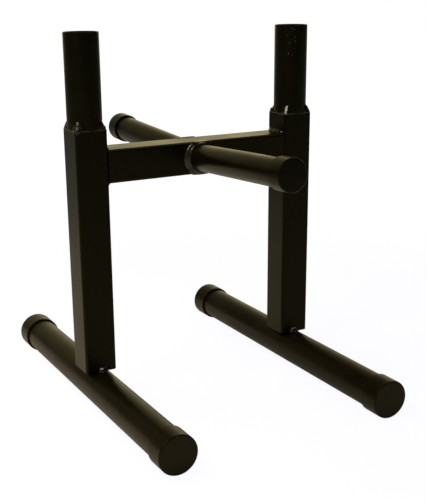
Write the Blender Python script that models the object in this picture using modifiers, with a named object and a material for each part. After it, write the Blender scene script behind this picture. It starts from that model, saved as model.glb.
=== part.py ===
"""Plate and bar storage rack, in metres with +Z up.

Two round foot tubes lie front to back on the floor, with a plastic cap pushed on each end. A square
upright stands on the crown of each foot tube and carries a round post, open at the top, for a bar. A
square cross bar joins the uprights. A round peg for plates is welded to its front face and another to
its rear face, each tilted up a little so that the plates stay on, and each closed by its own cap.
Every joint is held by weld beads, which are pieces of their own.

The origin is on the floor, midway between the feet. The front of the rack faces -Y.
"""

import math

import bmesh
import bpy
from mathutils import Vector

# Layout
SIDE_SPACING = 0.338
FOOT_TUBE_LENGTH = 0.528
UPRIGHT_LENGTH = 0.353
POST_LENGTH = 0.1295
BAR_DROP = 0.0287
PEG_LENGTH = 0.235
PEG_TILT = math.radians(3.0)

# Tube stock
FOOT_DIAMETER = 0.0508
FOOT_WALL = 0.002
SQUARE_SIDE = 0.0475
SQUARE_WALL = 0.002
SQUARE_CORNER = 0.004
POST_DIAMETER = 0.049
POST_WALL = 0.0025
POST_EDGE = 0.0005
PEG_DIAMETER = 0.039
PEG_WALL = 0.002

# Push-on caps
FOOT_CAP_LENGTH = 0.033
FOOT_CAP_WALL = 0.0025
FOOT_CAP_END = 0.0037
FOOT_CAP_ROUND = 0.002
PEG_CAP_LENGTH = 0.027
PEG_CAP_WALL = 0.0025
PEG_CAP_END = 0.0037
PEG_CAP_ROUND = 0.002

# Weld beads
POST_WELD_HEIGHT = 0.012
POST_WELD_SPREAD = math.radians(26.0)
POST_WELD_TAPER = 0.5
POST_WELD_SWELL = 0.65
FOOT_WELD_WIDTH = 0.015
FOOT_WELD_REACH = 0.006
FOOT_WELD_HEIGHT = 0.006
BAR_WELD_RADIUS = 0.006
PEG_WELD_LEG = 0.003
PEG_WELD_HEIGHT = 0.005

# Clearances
SEAT_GAP = 0.0003
CAP_FIT = 0.0003

# Fineness of the round shapes
TURN_STEPS = 48
CORNER_SEGMENTS = 4
ROUND_SEGMENTS = 4
BEAD_SEGMENTS = 24
MERGE = 0.00001

# Heights and places that follow from the sizes above
FOOT_RADIUS = FOOT_DIAMETER / 2
POST_RADIUS = POST_DIAMETER / 2
PEG_RADIUS = PEG_DIAMETER / 2
HALF_SQUARE = SQUARE_SIDE / 2
SIDE_X = SIDE_SPACING / 2
FOOT_AXIS_Z = FOOT_RADIUS + CAP_FIT + FOOT_CAP_WALL
CROWN_Z = FOOT_AXIS_Z + FOOT_RADIUS
UPRIGHT_BASE_Z = CROWN_Z + SEAT_GAP
UPRIGHT_TOP_Z = UPRIGHT_BASE_Z + UPRIGHT_LENGTH
POST_BASE_Z = UPRIGHT_TOP_Z + SEAT_GAP
BAR_TOP_Z = UPRIGHT_TOP_Z - BAR_DROP
BAR_Z = BAR_TOP_Z - HALF_SQUARE
BAR_LENGTH = SIDE_SPACING - SQUARE_SIDE - 2 * SEAT_GAP

SIDES = {"left": -1, "right": 1}
ENDS = {"front": -1, "rear": 1}
LEVELS = {"bottom": -1, "top": 1}


def clear_scene():
    for obj in list(bpy.data.objects):
        bpy.data.objects.remove(obj, do_unlink=True)


def new_collection(name):
    collection = bpy.data.collections.new(name)
    bpy.context.scene.collection.children.link(collection)
    return collection


def new_finish(name, colour, roughness, metallic=0.0):
    """A plain Principled material."""
    material = bpy.data.materials.new(name)
    material.use_nodes = True
    shader = material.node_tree.nodes["Principled BSDF"]
    shader.inputs["Base Color"].default_value = (*colour, 1.0)
    shader.inputs["Roughness"].default_value = roughness
    shader.inputs["Metallic"].default_value = metallic
    return material


def add_object(name, mesh, collection, finish=None, parent=None, location=(0, 0, 0), rotation=(0, 0, 0)):
    obj = bpy.data.objects.new(name, mesh)
    collection.objects.link(obj)
    obj.parent = parent
    obj.location = location
    obj.rotation_euler = rotation
    if finish:
        mesh.materials.append(finish)
    return obj


def add_empty(name, collection, parent=None, location=(0, 0, 0), rotation=(0, 0, 0)):
    empty = bpy.data.objects.new(name, None)
    collection.objects.link(empty)
    empty.parent = parent
    empty.location = location
    empty.rotation_euler = rotation
    return empty


def mesh_from(name, bm):
    """A mesh made from a bmesh, with round stretches smooth and edges crisp."""
    mesh = bpy.data.meshes.new(name)
    bm.to_mesh(mesh)
    bm.free()
    mesh.shade_smooth()
    mesh.set_sharp_from_angle(angle=math.radians(30))
    return mesh


def turned(name, profile, closed):
    """A mesh turned about Z from (radius, height) points that run down the outer side."""
    outline = bpy.data.meshes.new(name + "_profile")
    points = [(radius, 0, height) for radius, height in profile]
    links = [(i, i + 1) for i in range(len(points) - 1)]
    if closed:
        links.append((len(points) - 1, 0))
    outline.from_pydata(points, links, [])
    helper = bpy.data.objects.new(name + "_profile", outline)
    bpy.context.scene.collection.objects.link(helper)
    screw = helper.modifiers.new("Turn", "SCREW")
    screw.steps = TURN_STEPS
    screw.render_steps = TURN_STEPS
    screw.use_merge_vertices = True
    screw.merge_threshold = MERGE
    mesh = bpy.data.meshes.new_from_object(helper.evaluated_get(bpy.context.evaluated_depsgraph_get()))
    mesh.name = name
    mesh.shade_smooth()
    mesh.set_sharp_from_angle(angle=math.radians(30))
    bpy.data.objects.remove(helper, do_unlink=True)
    return mesh


def quarter_round(radius, height, size):
    """Points of a rounded outer edge, from the top face down to the side."""
    angles = [math.pi / 2 * i / ROUND_SEGMENTS for i in range(ROUND_SEGMENTS + 1)]
    return [(radius - size + size * math.sin(a), height - size + size * math.cos(a)) for a in angles]


def round_tube(name, diameter, wall, low, high, edge=0.0):
    """A hollow round tube along Z, with its outer and inner edges broken by edge."""
    outer = diameter / 2
    inner = outer - wall
    if edge:
        profile = [
            (outer - edge, high),
            (outer, high - edge),
            (outer, low + edge),
            (outer - edge, low),
            (inner + edge, low),
            (inner, low + edge),
            (inner, high - edge),
            (inner + edge, high),
        ]
    else:
        profile = [(outer, high), (outer, low), (inner, low), (inner, high)]
    return turned(name, profile, closed=True)


def end_cap(name, tube_diameter, wall, end, length, edge_round):
    """A cup pushed over a tube whose end is at height 0. The closed face is on top."""
    inner = tube_diameter / 2 + CAP_FIT
    outer = inner + wall
    face = SEAT_GAP + end
    lip = face - length
    profile = [(0, face)]
    profile += quarter_round(outer, face, edge_round)
    profile += [(outer, lip), (inner, lip), (inner, SEAT_GAP), (0, SEAT_GAP)]
    return turned(name, profile, closed=False)


def square_block(name, side, corner, length):
    """A solid square bar along Z with rounded long edges, centred on its origin."""
    bm = bmesh.new()
    bmesh.ops.create_cube(bm, size=1.0)
    bmesh.ops.scale(bm, vec=(side, side, length), verts=bm.verts)
    long_edges = [e for e in bm.edges if abs(e.verts[0].co.z - e.verts[1].co.z) > length / 2]
    bmesh.ops.bevel(
        bm,
        geom=long_edges,
        offset=corner,
        offset_type="OFFSET",
        segments=CORNER_SEGMENTS,
        profile=0.5,
        affect="EDGES",
    )
    return mesh_from(name, bm)


def cylinder(name, radius, length, steps=TURN_STEPS):
    """A solid round bar along Z, centred on its origin."""
    bm = bmesh.new()
    bmesh.ops.create_cone(
        bm, cap_ends=True, segments=steps, radius1=radius, radius2=radius, depth=length
    )
    return mesh_from(name, bm)


def cut(obj, cutter, label):
    """Takes the cutter's shape away from the object."""
    boolean = obj.modifiers.new(label, "BOOLEAN")
    boolean.operation = "DIFFERENCE"
    boolean.solver = "EXACT"
    boolean.object = cutter


def add_cutter(name, mesh, cutters, parent, location=(0, 0, 0), rotation=(0, 0, 0)):
    """A hidden solid, a seat gap larger than the tube that it stands for."""
    cutter = add_object(name, mesh, cutters, parent=parent, location=location, rotation=rotation)
    cutter.hide_render = True
    cutter.display_type = "WIRE"
    return cutter


def square_tube(name, length, finish, parts, cutters, parent, location, rotation=(0, 0, 0)):
    """A square tube along Z, open at both ends, made by boring a block."""
    block = square_block(name, SQUARE_SIDE, SQUARE_CORNER, length)
    tube = add_object(name, block, parts, finish, parent, location, rotation)
    bore_side = SQUARE_SIDE - 2 * SQUARE_WALL
    bore_corner = max(SQUARE_CORNER - SQUARE_WALL, SEAT_GAP)
    bore = square_block(name + "_bore", bore_side, bore_corner, length + 2 * SQUARE_WALL)
    cut(tube, add_cutter(name + "_bore", bore, cutters, tube), "Bore")


def add_feet(parts, rack, tube_paint, cap_plastic):
    """Both foot tubes, each with a cap on its front and rear end."""
    half_length = FOOT_TUBE_LENGTH / 2
    for side, x_sign in SIDES.items():
        x = x_sign * SIDE_X
        mesh = round_tube("foot_tube_" + side, FOOT_DIAMETER, FOOT_WALL, -half_length, half_length)
        along_y = (math.pi / 2, 0, 0)
        add_object("foot_tube_" + side, mesh, parts, tube_paint, rack, (x, 0, FOOT_AXIS_Z), along_y)
        for end, y_sign in ENDS.items():
            name = "foot_cap_" + side + "_" + end
            mesh = end_cap(
                name, FOOT_DIAMETER, FOOT_CAP_WALL, FOOT_CAP_END, FOOT_CAP_LENGTH, FOOT_CAP_ROUND
            )
            place = (x, y_sign * half_length, FOOT_AXIS_Z)
            outward = (-y_sign * math.pi / 2, 0, 0)
            add_object(name, mesh, parts, cap_plastic, rack, place, outward)


def add_uprights(parts, cutters, rack, paint):
    for side, x_sign in SIDES.items():
        place = (x_sign * SIDE_X, 0, UPRIGHT_BASE_Z + UPRIGHT_LENGTH / 2)
        square_tube("upright_" + side, UPRIGHT_LENGTH, paint, parts, cutters, rack, place)


def add_posts(parts, rack, paint):
    for side, x_sign in SIDES.items():
        mesh = round_tube("post_" + side, POST_DIAMETER, POST_WALL, 0, POST_LENGTH, POST_EDGE)
        add_object("post_" + side, mesh, parts, paint, rack, (x_sign * SIDE_X, 0, POST_BASE_Z))


def add_cross_bar(parts, cutters, rack, paint):
    along_x = (0, math.pi / 2, 0)
    square_tube("cross_bar", BAR_LENGTH, paint, parts, cutters, rack, (0, 0, BAR_Z), along_x)


def add_peg_roots(parts, rack):
    """An empty at the root of each peg, on the face of the cross bar. Its Z runs out along the peg."""
    roots = {}
    for end, y_sign in ENDS.items():
        lean = -y_sign * (math.pi / 2 - PEG_TILT)
        place = (0, y_sign * HALF_SQUARE, BAR_Z)
        roots[end] = add_empty("peg_root_" + end, parts, rack, place, (lean, 0, 0))
    return roots


def add_pegs(parts, roots, paint, cap_plastic, bar_cutter):
    """Both pegs, each cut slantwise to lie flat on the cross bar, and their caps."""
    inside = PEG_RADIUS * math.tan(PEG_TILT) + SQUARE_WALL
    for end, root in roots.items():
        mesh = round_tube("peg_" + end, PEG_DIAMETER, PEG_WALL, -inside, PEG_LENGTH)
        peg = add_object("peg_" + end, mesh, parts, paint, root)
        cut(peg, bar_cutter, "Cut flat on the bar")
        name = "peg_cap_" + end
        mesh = end_cap(name, PEG_DIAMETER, PEG_CAP_WALL, PEG_CAP_END, PEG_CAP_LENGTH, PEG_CAP_ROUND)
        add_object(name, mesh, parts, cap_plastic, root, (0, 0, PEG_LENGTH))


def polar(radius, angle, height):
    return Vector((radius * math.cos(angle), radius * math.sin(angle), height))


def corner_wedge(name):
    """The weld on one upright corner: from the corner up to the post, before the post is cut out.

    Its corner is on the diagonal of +X and +Y, and it stands on the top of the upright.
    """
    bm = bmesh.new()
    diagonal = math.pi / 4
    inside = POST_RADIUS - POST_WALL
    seat = POST_RADIUS + SEAT_GAP
    middle = HALF_SQUARE - SQUARE_CORNER
    corner = middle * math.sqrt(2) + SQUARE_CORNER
    for i in range(CORNER_SEGMENTS + 1):
        rim = polar(SQUARE_CORNER, math.pi / 2 * i / CORNER_SEGMENTS, 0)
        bm.verts.new(rim + Vector((middle, middle, 0)))
    for side in (-1, -0.5, 0, 0.5, 1):
        wide = diagonal + side * POST_WELD_SPREAD
        narrow = diagonal + side * POST_WELD_SPREAD * POST_WELD_TAPER
        swell = seat + (corner - seat) * POST_WELD_SWELL
        bm.verts.new(polar(inside, wide, 0))
        bm.verts.new(polar(inside, narrow, POST_WELD_HEIGHT))
        bm.verts.new(polar(seat + SEAT_GAP, narrow, POST_WELD_HEIGHT))
        bm.verts.new(polar(swell, diagonal + (narrow - diagonal) / 2, POST_WELD_HEIGHT / 2))
    hull = bmesh.ops.convex_hull(bm, input=bm.verts)
    spare = [v for v in hull["geom_interior"] if isinstance(v, bmesh.types.BMVert)]
    bmesh.ops.delete(bm, geom=spare, context="VERTS")
    return mesh_from(name, bm)


def add_post_welds(parts, rack, paint, post_cutters):
    """Four beads on each upright, one at each corner, leaning on the post."""
    for side, x_sign in SIDES.items():
        top = (x_sign * SIDE_X, 0, POST_BASE_Z)
        for end, y_sign in ENDS.items():
            for hand, hand_sign in SIDES.items():
                name = "post_weld_" + side + "_" + end + "_" + hand
                turn = math.atan2(y_sign, hand_sign) - math.pi / 4
                bead = add_object(name, corner_wedge(name), parts, paint, rack, top, (0, 0, turn))
                cut(bead, post_cutters[side], "Lie on the post")


def add_foot_welds(parts, rack, paint, foot_cutters, upright_cutters):
    """A short bead in front of each upright and behind it, on the crown of the foot tube."""
    for side, x_sign in SIDES.items():
        for end, y_sign in ENDS.items():
            name = "foot_weld_" + side + "_" + end
            bm = bmesh.new()
            bmesh.ops.create_uvsphere(bm, u_segments=BEAD_SEGMENTS, v_segments=BEAD_SEGMENTS // 2, radius=1.0)
            size = (FOOT_WELD_WIDTH / 2, FOOT_WELD_REACH, FOOT_WELD_HEIGHT)
            bmesh.ops.scale(bm, vec=size, verts=bm.verts)
            place = (x_sign * SIDE_X, y_sign * HALF_SQUARE, CROWN_Z)
            bead = add_object(name, mesh_from(name, bm), parts, paint, rack, place)
            cut(bead, upright_cutters[side], "Lie on the upright")
            cut(bead, foot_cutters[side], "Lie on the foot tube")


def add_bar_welds(parts, rack, paint, bar_cutter, upright_cutters):
    """A quarter round bead above and below each end of the cross bar."""
    width = SQUARE_SIDE - 2 * SQUARE_CORNER
    for side, x_sign in SIDES.items():
        for level, z_sign in LEVELS.items():
            name = "bar_weld_" + side + "_" + level
            mesh = cylinder(name, BAR_WELD_RADIUS, width, BEAD_SEGMENTS)
            place = (x_sign * (SIDE_X - HALF_SQUARE), 0, BAR_Z + z_sign * HALF_SQUARE)
            bead = add_object(name, mesh, parts, paint, rack, place, (math.pi / 2, 0, 0))
            cut(bead, upright_cutters[side], "Lie on the upright")
            cut(bead, bar_cutter, "Lie on the bar")


def add_peg_welds(parts, roots, paint, bar_cutter, peg_cutters):
    """A ring of weld round each peg, on the face of the cross bar and over its rounded edges."""
    foot = PEG_RADIUS + SEAT_GAP + PEG_WELD_LEG
    crest = PEG_RADIUS + 2 * SEAT_GAP
    inner = PEG_RADIUS - PEG_WALL / 2
    depth = -SQUARE_CORNER - foot * math.tan(PEG_TILT)
    profile = [
        (crest, PEG_WELD_HEIGHT),
        ((foot + crest) / 2, PEG_WELD_HEIGHT * 0.7),
        (foot, PEG_WELD_HEIGHT * 0.3),
        (foot, depth),
        (inner, depth),
        (inner, PEG_WELD_HEIGHT),
    ]
    for end, root in roots.items():
        name = "peg_weld_" + end
        bead = add_object(name, turned(name, profile, closed=True), parts, paint, root)
        cut(bead, bar_cutter, "Lie on the bar")
        cut(bead, peg_cutters[end], "Lie on the peg")


def add_cutters(cutters, rack, roots):
    """Solids for the tubes that other pieces are trimmed against, each larger by the seat gap."""
    grown_side = SQUARE_SIDE + 2 * SEAT_GAP
    grown_corner = SQUARE_CORNER + SEAT_GAP
    bar_mesh = square_block("bar_cutter", grown_side, grown_corner, BAR_LENGTH)
    bar = add_cutter("bar_cutter", bar_mesh, cutters, rack, (0, 0, BAR_Z), (0, math.pi / 2, 0))
    uprights = {}
    feet = {}
    posts = {}
    for side, x_sign in SIDES.items():
        x = x_sign * SIDE_X
        name = "upright_cutter_" + side
        height = UPRIGHT_TOP_Z - FOOT_AXIS_Z
        mesh = square_block(name, grown_side, grown_corner, height)
        uprights[side] = add_cutter(name, mesh, cutters, rack, (x, 0, FOOT_AXIS_Z + height / 2))
        name = "foot_cutter_" + side
        mesh = cylinder(name, FOOT_RADIUS + SEAT_GAP, FOOT_TUBE_LENGTH)
        feet[side] = add_cutter(name, mesh, cutters, rack, (x, 0, FOOT_AXIS_Z), (math.pi / 2, 0, 0))
        name = "post_cutter_" + side
        mesh = cylinder(name, POST_RADIUS + SEAT_GAP, 2 * POST_LENGTH)
        posts[side] = add_cutter(name, mesh, cutters, rack, (x, 0, POST_BASE_Z))
    pegs = {}
    for end, root in roots.items():
        name = "peg_cutter_" + end
        pegs[end] = add_cutter(name, cylinder(name, PEG_RADIUS + SEAT_GAP, PEG_LENGTH), cutters, root)
    return bar, uprights, feet, posts, pegs


def main():
    clear_scene()
    parts = new_collection("plate_and_bar_storage_rack")
    cutters = new_collection("cutters")
    rack = add_empty("rack", parts)
    roots = add_peg_roots(parts, rack)
    bar, uprights, feet, posts, pegs = add_cutters(cutters, rack, roots)

    foot_paint = new_finish("foot_tube_paint", (0.016, 0.014, 0.010), 0.32)
    upright_paint = new_finish("upright_paint", (0.015, 0.014, 0.009), 0.36)
    post_paint = new_finish("post_paint", (0.014, 0.012, 0.008), 0.38)
    bar_paint = new_finish("cross_bar_paint", (0.015, 0.014, 0.009), 0.36)
    peg_paint = new_finish("peg_paint", (0.016, 0.014, 0.010), 0.34)
    foot_plastic = new_finish("foot_cap_plastic", (0.022, 0.021, 0.014), 0.55)
    peg_plastic = new_finish("peg_cap_plastic", (0.022, 0.021, 0.014), 0.55)
    weld_paint = new_finish("weld_paint", (0.020, 0.018, 0.013), 0.25)

    add_feet(parts, rack, foot_paint, foot_plastic)
    add_uprights(parts, cutters, rack, upright_paint)
    add_posts(parts, rack, post_paint)
    add_cross_bar(parts, cutters, rack, bar_paint)
    add_pegs(parts, roots, peg_paint, peg_plastic, bar)
    add_post_welds(parts, rack, weld_paint, posts)
    add_foot_welds(parts, rack, weld_paint, feet, uprights)
    add_bar_welds(parts, rack, weld_paint, bar, uprights)
    add_peg_welds(parts, roots, weld_paint, bar, pegs)


main()
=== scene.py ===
# %% [markdown]
# # Plate and bar storage rack
#
# The rack is one welded frame of black painted steel tube. Two round tubes lie on the floor as feet,
# a square upright stands on each, and a round post on top of each upright takes the end of a bar. A
# square cross bar joins the uprights and carries two round pegs for weight plates. Plastic caps close
# the open ends of the feet and pegs.
#
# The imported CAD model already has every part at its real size, but as plain facets. This lesson keeps
# those sizes and places, and builds a finished piece over each part: rounded edges, weld beads with
# ripples, moulded caps and sprayed paint.

# %% Load the frame
import math
import random

import bmesh
import bpy
from mathutils import Matrix, Vector


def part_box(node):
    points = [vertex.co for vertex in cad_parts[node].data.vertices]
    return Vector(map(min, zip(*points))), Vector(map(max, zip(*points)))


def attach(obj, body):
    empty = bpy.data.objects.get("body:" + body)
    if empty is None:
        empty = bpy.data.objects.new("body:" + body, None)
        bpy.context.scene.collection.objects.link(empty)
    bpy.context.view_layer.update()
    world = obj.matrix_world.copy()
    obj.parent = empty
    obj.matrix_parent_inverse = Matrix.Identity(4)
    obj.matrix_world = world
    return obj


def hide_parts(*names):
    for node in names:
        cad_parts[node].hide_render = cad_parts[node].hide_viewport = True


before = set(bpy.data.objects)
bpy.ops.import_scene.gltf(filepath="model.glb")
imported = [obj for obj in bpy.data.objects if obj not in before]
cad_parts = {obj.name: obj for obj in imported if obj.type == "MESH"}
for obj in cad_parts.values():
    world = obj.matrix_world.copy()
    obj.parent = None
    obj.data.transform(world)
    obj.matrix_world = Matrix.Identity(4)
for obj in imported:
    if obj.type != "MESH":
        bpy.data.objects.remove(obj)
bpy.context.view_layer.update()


def in_mm(lengths):
    """Lengths in millimetres, rounded to be printed."""
    return [round(1000 * length, 1) for length in lengths]


print("CAD nodes:", len(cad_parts))

# %% [markdown]
# ## The camera
#
# The picture is taken from the front left and a little above. A camera in Blender looks along its own
# -Z, so it is first stood upright, then tilted down, then turned to the right. A picture that was
# trimmed after it was taken no longer has the lens's axis in its middle. Two small lens shifts put
# the axis back where it was, and keep the upright lines of the rack at the right slant.

# %% Camera
MM = 0.001
PICTURE_WIDTH = 426
PICTURE_HEIGHT = 500
SENSOR_WIDTH = 36.0

CAMERA_PLACE = Vector((-658.051, -1232.051, 592.534)) * MM
CAMERA_YAW = 0.49377
CAMERA_PITCH = 0.29605
CAMERA_ROLL = -0.01174
FOCAL_PIXELS = 952.575
AXIS_PIXEL = (197.777, 277.100)

long_side = max(PICTURE_WIDTH, PICTURE_HEIGHT)
lens = bpy.data.cameras.new("camera")
lens.sensor_width = SENSOR_WIDTH
lens.lens = FOCAL_PIXELS * SENSOR_WIDTH / long_side
lens.shift_x = (PICTURE_WIDTH / 2 - AXIS_PIXEL[0]) / long_side
lens.shift_y = (AXIS_PIXEL[1] - PICTURE_HEIGHT / 2) / long_side
lens.clip_start = 0.05
lens.clip_end = 50.0


def new_object(name, data):
    """An object that is in the scene."""
    thing = bpy.data.objects.new(name, data)
    bpy.context.scene.collection.objects.link(thing)
    return thing


def mesh_from(name, bm, finish):
    """A mesh with one finish, from a bmesh that isn't needed any more."""
    mesh = bpy.data.meshes.new(name)
    bm.to_mesh(mesh)
    bm.free()
    mesh.materials.append(finish)
    return mesh


camera = new_object("camera", lens)
turn = Matrix.Rotation(-CAMERA_YAW, 4, "Z")
tilt = Matrix.Rotation(math.pi / 2 - CAMERA_PITCH, 4, "X")
roll = Matrix.Rotation(CAMERA_ROLL, 4, "Z")
camera.matrix_world = Matrix.Translation(CAMERA_PLACE) @ turn @ tilt @ roll
bpy.context.scene.camera = camera
bpy.context.scene.view_settings.view_transform = "Standard"
print(f"lens {lens.lens:.1f} mm, shift {lens.shift_x:.4f}, {lens.shift_y:.4f}")

# %% [markdown]
# ## Node helpers
#
# Shader trees and Geometry Nodes trees are wired the same way: add a node, make its settings, and fill
# its sockets with values or with other nodes' outputs. Small helpers keep the cells that follow short.

# %% Node helpers
def fill(tree, node, inputs):
    """Fills a node's sockets, by name or number, with values or with other nodes' outputs."""
    for key, value in inputs.items():
        socket = node.inputs[key]
        if isinstance(value, bpy.types.NodeSocket):
            tree.links.new(value, socket)
        else:
            socket.default_value = value


def add_node(tree, kind, inputs=None, **settings):
    """Adds a node of a kind, makes its settings, fills its sockets and gives its outputs."""
    node = tree.nodes.new(kind)
    for name, value in settings.items():
        setattr(node, name, value)
    fill(tree, node, inputs or {})
    return node.outputs


def math_node(tree, operation, first, second=0.0, third=0.0):
    """The result of a Math node."""
    inputs = {0: first, 1: second, 2: third}
    return add_node(tree, "ShaderNodeMath", inputs, operation=operation)[0]


def vector_node(tree, operation, first, second=(0, 0, 0)):
    """The outputs of a Vector Math node: number 0 is its vector, "Value" its plain number."""
    inputs = {0: first, 1: second}
    return add_node(tree, "ShaderNodeVectorMath", inputs, operation=operation)


def rise(tree, value, start, stop, low=0.0, high=1.0, shape="LINEAR"):
    """A straight rise from low to high as the value goes from start to stop."""
    inputs = {"Value": value, "From Min": start, "From Max": stop, "To Min": low, "To Max": high}
    return add_node(tree, "ShaderNodeMapRange", inputs, interpolation_type=shape)["Result"]


def soft_step(tree, value, start, stop, low=0.0, high=1.0):
    """The same rise, with a soft start and a soft end."""
    return rise(tree, value, start, stop, low, high, "SMOOTHSTEP")


def noise(tree, place, scale, **more):
    """A noise texture's value at a place. more may give its Detail and Roughness."""
    inputs = {"Vector": place, "Scale": scale, **more}
    return add_node(tree, "ShaderNodeTexNoise", inputs)["Fac"]


def mixed(tree, share, first, second):
    """A colour that goes from the first to the second as the share goes from 0 to 1."""
    inputs = {"Factor": share, "A": first, "B": second}
    return add_node(tree, "ShaderNodeMix", inputs, data_type="RGBA")["Result"]


print("node helpers made")

# %% [markdown]
# ## The studio
#
# Black paint shows almost no colour of its own. What makes it look round, square, smooth or rough is
# the room that it mirrors. This room is nearly dark, and four soft shapes stand in it:
#
# - a warm pale backdrop behind the rack, brightest low down and fading upwards
# - a dim panel at the front left, which fills the sides of the tubes
# - a small, strong, nearly white softbox high at the front left, which glints on the weld beads
# - a wider, weaker light overhead, which draws thin lines along upward edges
#
# Each shape is a direction: the dot product with a ray's direction says how far the ray points towards
# it, and a smooth step turns that into a bright patch with a soft edge.
#
# The camera itself sees plain white. Light Path tells the world which kind of ray asks: the camera
# gets white of strength 1, and everything else gets the room.

# %% World
ROOM_COLOUR = (1.0, 0.87, 0.48, 1.0)
DARK_ROOM = 0.012
LIGHT_COLOUR = (1.0, 0.97, 0.88, 1.0)
BACKDROP = 1.5
BACKDROP_SIDE = Vector((0.38, 0.88, 0.16)).normalized()
PANEL = 0.20
PANEL_SIDE = Vector((-0.80, -0.58, 0.05)).normalized()
SOFTBOX = 13.0
SOFTBOX_SIDE = Vector((-0.60, -0.27, 0.75)).normalized()
TOP_LIGHT = 3.0
TOP_LIGHT_SIDE = Vector((0.40, -0.12, 0.90)).normalized()

# The dot products at which each shape's soft edge begins and ends. In its middle they are 1.
BACKDROP_EDGE = (0.64, 0.99)
PANEL_EDGE = (0.80, 0.98)
SOFTBOX_EDGE = (0.987, 0.994)
TOP_LIGHT_EDGE = (0.97, 0.99)

# Between these heights the backdrop fades to a small share of its light.
BACKDROP_FADE = (0.12, 0.60)
FADED_SHARE = 0.12


def patch(tree, direction, side, edge, strength=1.0):
    """A patch of light round a side, with its edge between two dot products."""
    towards = vector_node(tree, "DOT_PRODUCT", direction, side)["Value"]
    return soft_step(tree, towards, *edge, 0.0, strength)


world = bpy.data.worlds.new("studio")
bpy.context.scene.world = world
world.use_nodes = True
tree = world.node_tree
tree.nodes.clear()
direction = add_node(tree, "ShaderNodeTexCoord")["Generated"]
height = vector_node(tree, "DOT_PRODUCT", direction, (0, 0, 1))["Value"]
fade = soft_step(tree, height, *BACKDROP_FADE, 1.0, FADED_SHARE)
backdrop = patch(tree, direction, BACKDROP_SIDE, BACKDROP_EDGE, BACKDROP)
backdrop = math_node(tree, "MULTIPLY", backdrop, fade)
panel = patch(tree, direction, PANEL_SIDE, PANEL_EDGE, PANEL)
softbox = patch(tree, direction, SOFTBOX_SIDE, SOFTBOX_EDGE)
top_light = patch(tree, direction, TOP_LIGHT_SIDE, TOP_LIGHT_EDGE)
colour = mixed(tree, math_node(tree, "MAXIMUM", softbox, top_light), ROOM_COLOUR, LIGHT_COLOUR)
level = math_node(tree, "ADD", math_node(tree, "ADD", backdrop, panel), DARK_ROOM)
level = math_node(tree, "MULTIPLY_ADD", softbox, SOFTBOX, level)
level = math_node(tree, "MULTIPLY_ADD", top_light, TOP_LIGHT, level)
room_light = add_node(tree, "ShaderNodeBackground", {"Color": colour, "Strength": level})
plain_white = add_node(tree, "ShaderNodeBackground", {"Color": (1, 1, 1, 1), "Strength": 1.0})
seen = add_node(tree, "ShaderNodeLightPath")["Is Camera Ray"]
chosen = add_node(tree, "ShaderNodeMixShader", {0: seen, 1: room_light[0], 2: plain_white[0]})
add_node(tree, "ShaderNodeOutputWorld", {"Surface": chosen[0]})
print("world made: backdrop", BACKDROP, "panel", PANEL, "softbox", SOFTBOX, "top light", TOP_LIGHT)

# %% [markdown]
# One large lamp hangs over the rack, a little behind it and to the left. It lights a pool on the pale
# floor, and the pool lights the lower parts of the rack from below, so the fronts of the uprights get
# darker towards the top. Its size keeps every shadow soft, and a narrow spread keeps the pool small.
# The lamp is hidden from mirror-like rays, or every bead would show it as a large white square.

# %% Lamp
LAMP_PLACE = Vector((-0.80, 0.36, 1.45))
LAMP_TARGET = Vector((-0.46, 0.05, 0.0))
LAMP_SIZE = 1.1
LAMP_SPREAD = math.radians(100)
LAMP_POWER = 6.6
LAMP_COLOUR = (1.0, 0.82, 0.50)

lamp = bpy.data.lights.new("overhead_lamp", "AREA")
lamp.shape = "SQUARE"
lamp.size = LAMP_SIZE
lamp.spread = LAMP_SPREAD
lamp.energy = LAMP_POWER
lamp.color = LAMP_COLOUR
lamp_object = new_object("overhead_lamp", lamp)
lamp_object.visible_glossy = False
aim = (LAMP_TARGET - LAMP_PLACE).to_track_quat("-Z", "Y")
lamp_object.matrix_world = Matrix.Translation(LAMP_PLACE) @ aim.to_matrix().to_4x4()
away = (LAMP_TARGET - LAMP_PLACE).length
print("lamp", LAMP_POWER, "W,", LAMP_SIZE, "m across,", round(away, 2), "m away")

# %% [markdown]
# ## The floor
#
# The floor is one large pale sheet. Part of its white comes from its own colour, which takes the
# rack's soft shadow, and part from a plain glow that only the camera and mirror-like rays see. So the
# paint reflects a pale floor and the picture keeps a white ground, with no extra light on the rack.

# %% Floor
FLOOR_SIZE = 14.0
FLOOR_COLOUR = (0.90, 0.90, 0.90, 1.0)
CAMERA_GLOW = 0.90
GLOW_WHITE = (1.04, 1.045, 1.08, 1.0)
MIRROR_GLOW = 0.02
POOL_EDGE = (0.6, 1.6)

floor_finish = bpy.data.materials.new("floor_sheet")
floor_finish.use_nodes = True
tree = floor_finish.node_tree
tree.nodes.clear()
place = add_node(tree, "ShaderNodeTexCoord")["Object"]
fibres = noise(tree, place, 400.0, Detail=2.0)
tooth = add_node(tree, "ShaderNodeBump", {"Height": fibres, "Strength": 0.1, "Distance": 0.0002})
sheet = add_node(tree, "ShaderNodeBsdfDiffuse", {"Color": FLOOR_COLOUR, "Normal": tooth[0]})
white = add_node(tree, "ShaderNodeEmission", {"Color": GLOW_WHITE, "Strength": 1.0})
far = vector_node(tree, "LENGTH", place)["Value"]
rays = add_node(tree, "ShaderNodeLightPath")
mirrored = math_node(tree, "MAXIMUM", rays["Is Glossy Ray"], rays["Is Transmission Ray"])
mirrored = math_node(tree, "MULTIPLY", mirrored, MIRROR_GLOW)
shown = soft_step(tree, far, *POOL_EDGE, CAMERA_GLOW, 1.0)
glow = math_node(tree, "MULTIPLY_ADD", rays["Is Camera Ray"], shown, mirrored)
chosen = add_node(tree, "ShaderNodeMixShader", {0: glow, 1: sheet[0], 2: white[0]})
add_node(tree, "ShaderNodeOutputMaterial", {"Surface": chosen[0]})

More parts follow.
